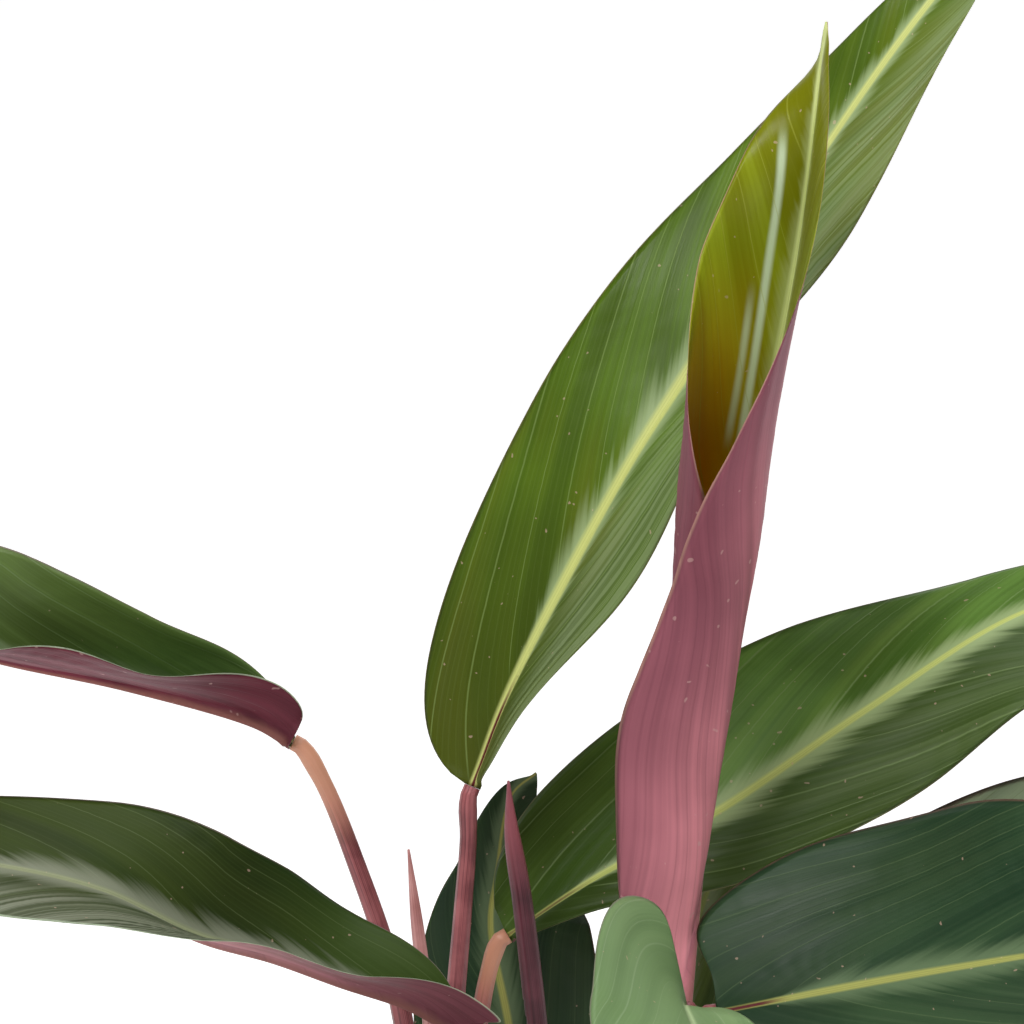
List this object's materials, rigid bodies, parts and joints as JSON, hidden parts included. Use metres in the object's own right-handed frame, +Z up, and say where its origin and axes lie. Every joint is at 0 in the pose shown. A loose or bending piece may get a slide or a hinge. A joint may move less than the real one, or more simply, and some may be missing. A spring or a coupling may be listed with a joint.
{
  "type": "potted stripestar stromanthe",
  "caption": "Foliage plant in a plain round pot: lance-shaped dark green leaves with a pale midrib on slender pink stems, a young leaf still rolled.",
  "frame": {"origin": "middle of the pot's flat underside", "axes": "+Z up along the pot's axis, +X to the viewer's right, +Y away from the viewer"},
  "size_m": [0.4585, 0.4528, 0.5644],
  "materials": {
    "leaf": "satin, waxy",
    "leaf_pale": "satin, waxy",
    "leaf_rolled": "satin",
    "stem": "satin",
    "spear": "satin",
    "soil": "matt, crumbly",
    "pot": "matt"
  },
  "bodies": {
    "root": {"blade_upright": "leaf", "stem_upright": "stem", "blade_rolled": "leaf_rolled", "stem_rolled": "stem", "blade_right": "leaf", "stem_right": "stem", "blade_front_right": "leaf", "stem_front_right": "stem", "blade_upper_left": "leaf", "stem_upper_left": "stem", "blade_lower_left": "leaf", "stem_lower_left": "stem", "blade_back_centre": "leaf", "stem_back_centre": "stem", "blade_back_right": "leaf", "stem_back_right": "stem", "blade_right_low": "leaf", "stem_right_low": "stem", "blade_front": "leaf_pale", "stem_front": "stem", "blade_low_front_left": "leaf", "stem_low_front_left": "stem", "blade_low_front_right": "leaf", "stem_low_front_right": "stem", "blade_low_left": "leaf", "stem_low_left": "stem", "blade_low_back_right": "leaf", "stem_low_back_right": "stem", "blade_low_back": "leaf", "stem_low_back": "stem", "blade_low_front": "leaf", "stem_low_front": "stem", "spear_tall": "spear", "spear_short": "spear", "soil": "soil", "pot": "pot"}
  },
  "joints": []
}
